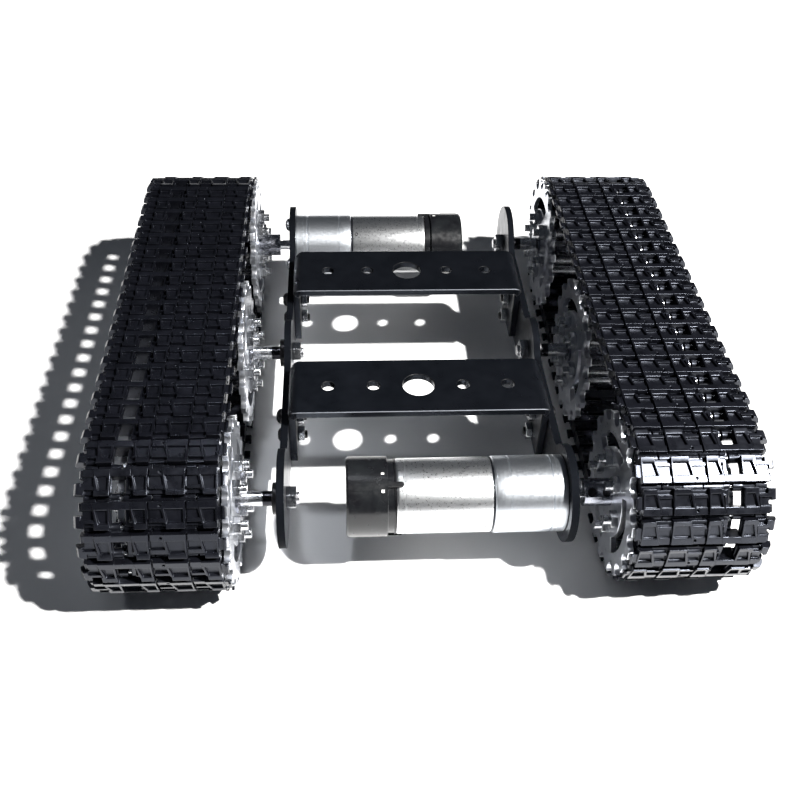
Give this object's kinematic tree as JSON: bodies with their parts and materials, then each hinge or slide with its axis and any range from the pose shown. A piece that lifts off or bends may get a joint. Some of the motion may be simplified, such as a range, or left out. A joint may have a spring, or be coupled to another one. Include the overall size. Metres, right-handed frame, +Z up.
{
  "type": "tracked tank chassis",
  "caption": "Open metal robot chassis on two plastic link tracks, with gearmotors placed diagonally and drilled cross brackets for fastening a deck.",
  "frame": {"origin": "on the ground, under the middle of the chassis", "axes": "+X to the right across the tracks, +Y to the rear along the tracks, +Z up"},
  "size_m": [0.21, 0.2034, 0.0579],
  "materials": {
    "black_plate": "satin black anodised plate",
    "track_plastic": "moulded black plastic",
    "cap_plastic": "smooth black plastic",
    "circuit_board": "green circuit board",
    "wheel_alloy": "satin",
    "motor_steel": "bright plated steel",
    "gear_brass": "cut",
    "rotor_winding": "varnished copper",
    "black_steel": "black oxide",
    "bright_steel": "zinc plated"
  },
  "bodies": {
    "chassis": {"right_side_panel": "black_plate", "left_side_panel": "black_plate", "front_bracket": "black_plate", "rear_bracket": "black_plate", "bracket_screws": "black_steel", "bracket_nuts": "bright_steel", "motor_screws": "bright_steel", "right_gearbox_case": "motor_steel", "left_gearbox_case": "motor_steel", "right_motor_can": "motor_steel", "left_motor_can": "motor_steel", "right_encoder_board": "circuit_board", "left_encoder_board": "circuit_board", "right_encoder_cap": "cap_plastic", "left_encoder_cap": "cap_plastic", "wheel_axles": "bright_steel", "axle_nuts": "bright_steel", "axle_washers": "black_steel", "right_upper_links": "track_plastic", "left_upper_links": "track_plastic", "right_lower_links": "track_plastic", "left_lower_links": "track_plastic", "right_front_links": "track_plastic", "left_front_links": "track_plastic", "right_rear_links": "track_plastic", "left_rear_links": "track_plastic", "right_hinge_pins": "bright_steel", "left_hinge_pins": "bright_steel"},
    "right_drive_wheel": {"right_output_shaft": "bright_steel", "right_drive_hub": "bright_steel", "right_set_screws": "black_steel", "right_drive_inner_disc": "wheel_alloy", "right_drive_outer_disc": "wheel_alloy", "right_drive_bolts": "bright_steel"},
    "right_idler_wheel": {"right_idler_hub": "bright_steel", "right_idler_inner_disc": "wheel_alloy", "right_idler_outer_disc": "wheel_alloy", "right_idler_bolts": "bright_steel"},
    "right_mid_wheel": {"right_mid_hub": "bright_steel", "right_mid_inner_disc": "wheel_alloy", "right_mid_outer_disc": "wheel_alloy", "right_mid_bolts": "bright_steel"},
    "right_gear_cluster": {"right_middle_gear": "gear_brass"},
    "right_motor_rotor": {"right_rotor": "rotor_winding"},
    "left_drive_wheel": {"left_output_shaft": "bright_steel", "left_drive_hub": "bright_steel", "left_set_screws": "black_steel", "left_drive_inner_disc": "wheel_alloy", "left_drive_outer_disc": "wheel_alloy", "left_drive_bolts": "bright_steel"},
    "left_idler_wheel": {"left_idler_hub": "bright_steel", "left_idler_inner_disc": "wheel_alloy", "left_idler_outer_disc": "wheel_alloy", "left_idler_bolts": "bright_steel"},
    "left_mid_wheel": {"left_mid_hub": "bright_steel", "left_mid_inner_disc": "wheel_alloy", "left_mid_outer_disc": "wheel_alloy", "left_mid_bolts": "bright_steel"},
    "left_gear_cluster": {"left_middle_gear": "gear_brass"},
    "left_motor_rotor": {"left_rotor": "rotor_winding"}
  },
  "joints": [
    {"name": "right_drive_spin", "type": "hinge", "parent": "chassis", "child": "right_drive_wheel", "pos_m": [0.06, -0.0731, 0.02896], "axis": [1, 0, 0], "continuous": true},
    {"name": "right_idler_spin", "type": "hinge", "parent": "chassis", "child": "right_idler_wheel", "pos_m": [0.077, 0.0731, 0.02896], "axis": [1, 0, 0], "continuous": true},
    {"name": "right_mid_spin", "type": "hinge", "parent": "chassis", "child": "right_mid_wheel", "pos_m": [0.077, 0, 0.02896], "axis": [1, 0, 0], "continuous": true},
    {"name": "right_gear_spin", "type": "hinge", "parent": "chassis", "child": "right_gear_cluster", "pos_m": [0.03, -0.0731, 0.03546], "axis": [1, 0, 0], "continuous": true},
    {"name": "right_rotor_spin", "type": "hinge", "parent": "chassis", "child": "right_motor_rotor", "pos_m": [0, -0.0731, 0.02896], "axis": [1, 0, 0], "continuous": true},
    {"name": "left_drive_spin", "type": "hinge", "parent": "chassis", "child": "left_drive_wheel", "pos_m": [-0.06, 0.0731, 0.02896], "axis": [1, 0, 0], "continuous": true},
    {"name": "left_idler_spin", "type": "hinge", "parent": "chassis", "child": "left_idler_wheel", "pos_m": [-0.077, -0.0731, 0.02896], "axis": [1, 0, 0], "continuous": true},
    {"name": "left_mid_spin", "type": "hinge", "parent": "chassis", "child": "left_mid_wheel", "pos_m": [-0.077, 0, 0.02896], "axis": [1, 0, 0], "continuous": true},
    {"name": "left_gear_spin", "type": "hinge", "parent": "chassis", "child": "left_gear_cluster", "pos_m": [-0.03, 0.0731, 0.03546], "axis": [1, 0, 0], "continuous": true},
    {"name": "left_rotor_spin", "type": "hinge", "parent": "chassis", "child": "left_motor_rotor", "pos_m": [0, 0.0731, 0.02896], "axis": [1, 0, 0], "continuous": true}
  ],
  "couplings": [
    {"joint": "right_idler_spin", "follows": "right_drive_spin", "ratio": 1},
    {"joint": "right_mid_spin", "follows": "right_drive_spin", "ratio": 1},
    {"joint": "right_gear_spin", "follows": "right_drive_spin", "ratio": -3},
    {"joint": "right_rotor_spin", "follows": "right_drive_spin", "ratio": 9},
    {"joint": "left_idler_spin", "follows": "left_drive_spin", "ratio": 1},
    {"joint": "left_mid_spin", "follows": "left_drive_spin", "ratio": 1},
    {"joint": "left_gear_spin", "follows": "left_drive_spin", "ratio": -3},
    {"joint": "left_rotor_spin", "follows": "left_drive_spin", "ratio": 9}
  ]
}
